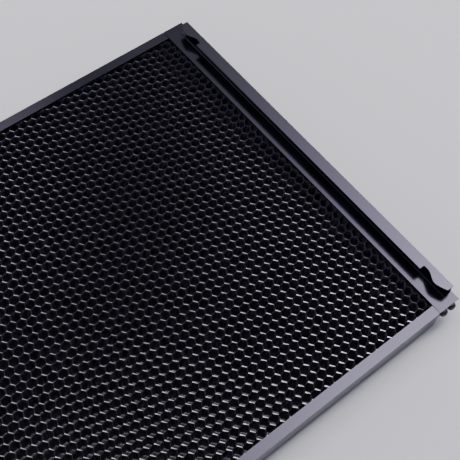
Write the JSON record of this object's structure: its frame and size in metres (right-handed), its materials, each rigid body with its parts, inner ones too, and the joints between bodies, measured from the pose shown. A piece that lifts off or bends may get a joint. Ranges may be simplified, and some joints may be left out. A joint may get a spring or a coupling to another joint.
{
  "type": "honeycomb grid",
  "caption": "Square honeycomb light-control grid: black foil honeycomb in a slim aluminium frame, with a wide front rail that carries a raised retainer strip.",
  "frame": {"origin": "centre of the frame in the plane of its rear face, which the grid lies on", "axes": "+Z out of the front face, away from the lamp; +Y towards the wide front rail; +X to the right with the front rail at the top"},
  "size_m": [0.3074, 0.3048, 0.028],
  "materials": {
    "core_foil": "semi-gloss black coating on thin aluminium foil",
    "black_anodised": "satin black anodised",
    "strip_anodised": "satin black anodised",
    "rivet_aluminium": "black lacquered aluminium",
    "black_screw": "black oxide, slightly oiled",
    "bracket_zinc": "dull zinc plate"
  },
  "bodies": {
    "root": {"honeycomb_core": "core_foil", "left_rail": "black_anodised", "right_rail": "black_anodised", "rear_rail": "black_anodised", "front_rail": "black_anodised", "retainer_strip": "strip_anodised", "retainer_rivets": "rivet_aluminium", "left_end_screws": "black_screw", "right_end_screws": "black_screw", "rear_left_bracket": "bracket_zinc", "rear_right_bracket": "bracket_zinc", "rear_left_screws": "black_screw", "rear_right_screws": "black_screw"}
  },
  "joints": []
}
